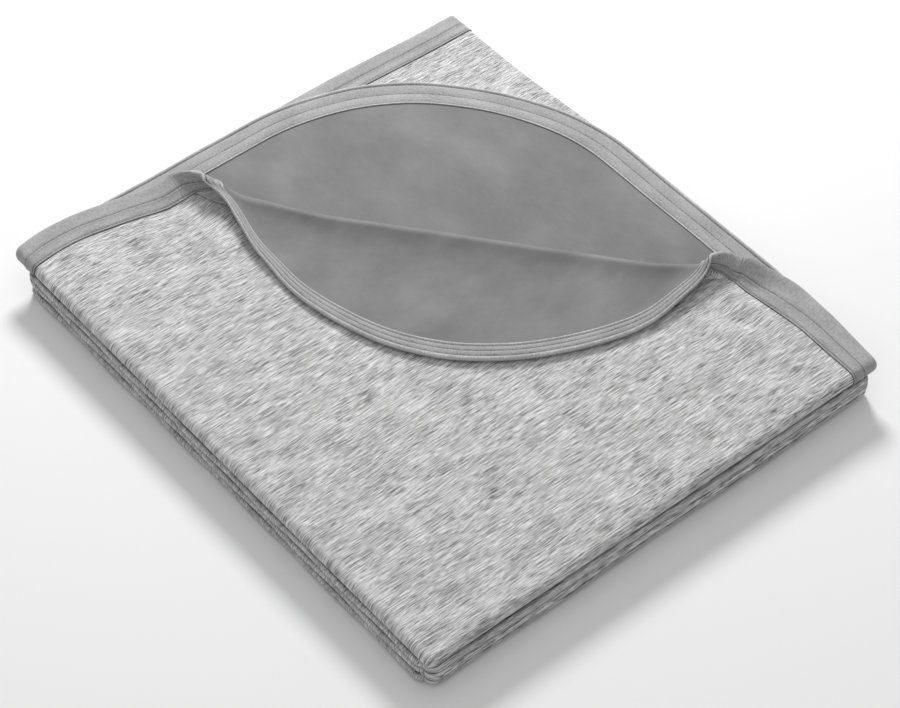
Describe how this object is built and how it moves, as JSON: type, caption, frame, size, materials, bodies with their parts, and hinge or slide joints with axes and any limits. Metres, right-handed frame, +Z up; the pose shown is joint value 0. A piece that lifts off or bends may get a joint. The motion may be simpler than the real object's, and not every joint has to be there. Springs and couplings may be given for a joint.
{
  "type": "folded blanket",
  "caption": "Two-sided knitted blanket folded into a flat packet, heather face out, with its rounded top corner turned back to show the smooth reverse and the binding.",
  "frame": {"origin": "centre of the packet's footprint, on the surface it lies on", "axes": "+Z up, +Y towards the blanket's bound head end, +X towards the side where the leaves end"},
  "size_m": [0.5, 0.575, 0.0585],
  "materials": {
    "heather_knit": "matte heather jersey with fine slubbed streaks",
    "smooth_knit": "smooth matte knit with a slight sheen",
    "binding_tape": "fine ribbed tape with two rows of stitching"
  },
  "bodies": {
    "packet": {"top_leaf_face_panel": "heather_knit", "second_leaf_face_panel": "heather_knit", "third_leaf_face_panel": "heather_knit", "fourth_leaf_face_panel": "heather_knit", "second_section": "heather_knit", "third_section": "heather_knit", "fourth_section": "heather_knit", "top_leaf_reverse_panel": "smooth_knit", "second_leaf_reverse_panel": "smooth_knit", "third_leaf_reverse_panel": "smooth_knit", "fourth_leaf_reverse_panel": "smooth_knit", "top_leaf_head_binding": "binding_tape", "top_leaf_side_binding": "binding_tape", "second_leaf_binding": "binding_tape", "third_leaf_binding": "binding_tape", "fourth_leaf_binding": "binding_tape", "second_section_binding": "binding_tape", "third_section_binding": "binding_tape", "fourth_section_binding": "binding_tape"},
    "corner_flap": {"corner_flap_face_panel": "heather_knit", "corner_flap_reverse_panel": "smooth_knit", "corner_flap_binding": "binding_tape"}
  },
  "joints": [
    {"name": "corner_turn_back", "type": "hinge", "parent": "packet", "child": "corner_flap", "pos_m": [0.02243, 0.10453, 0.0497], "axis": [-0.6266, 0.7793, 0], "range_deg": [0, 184]}
  ]
}
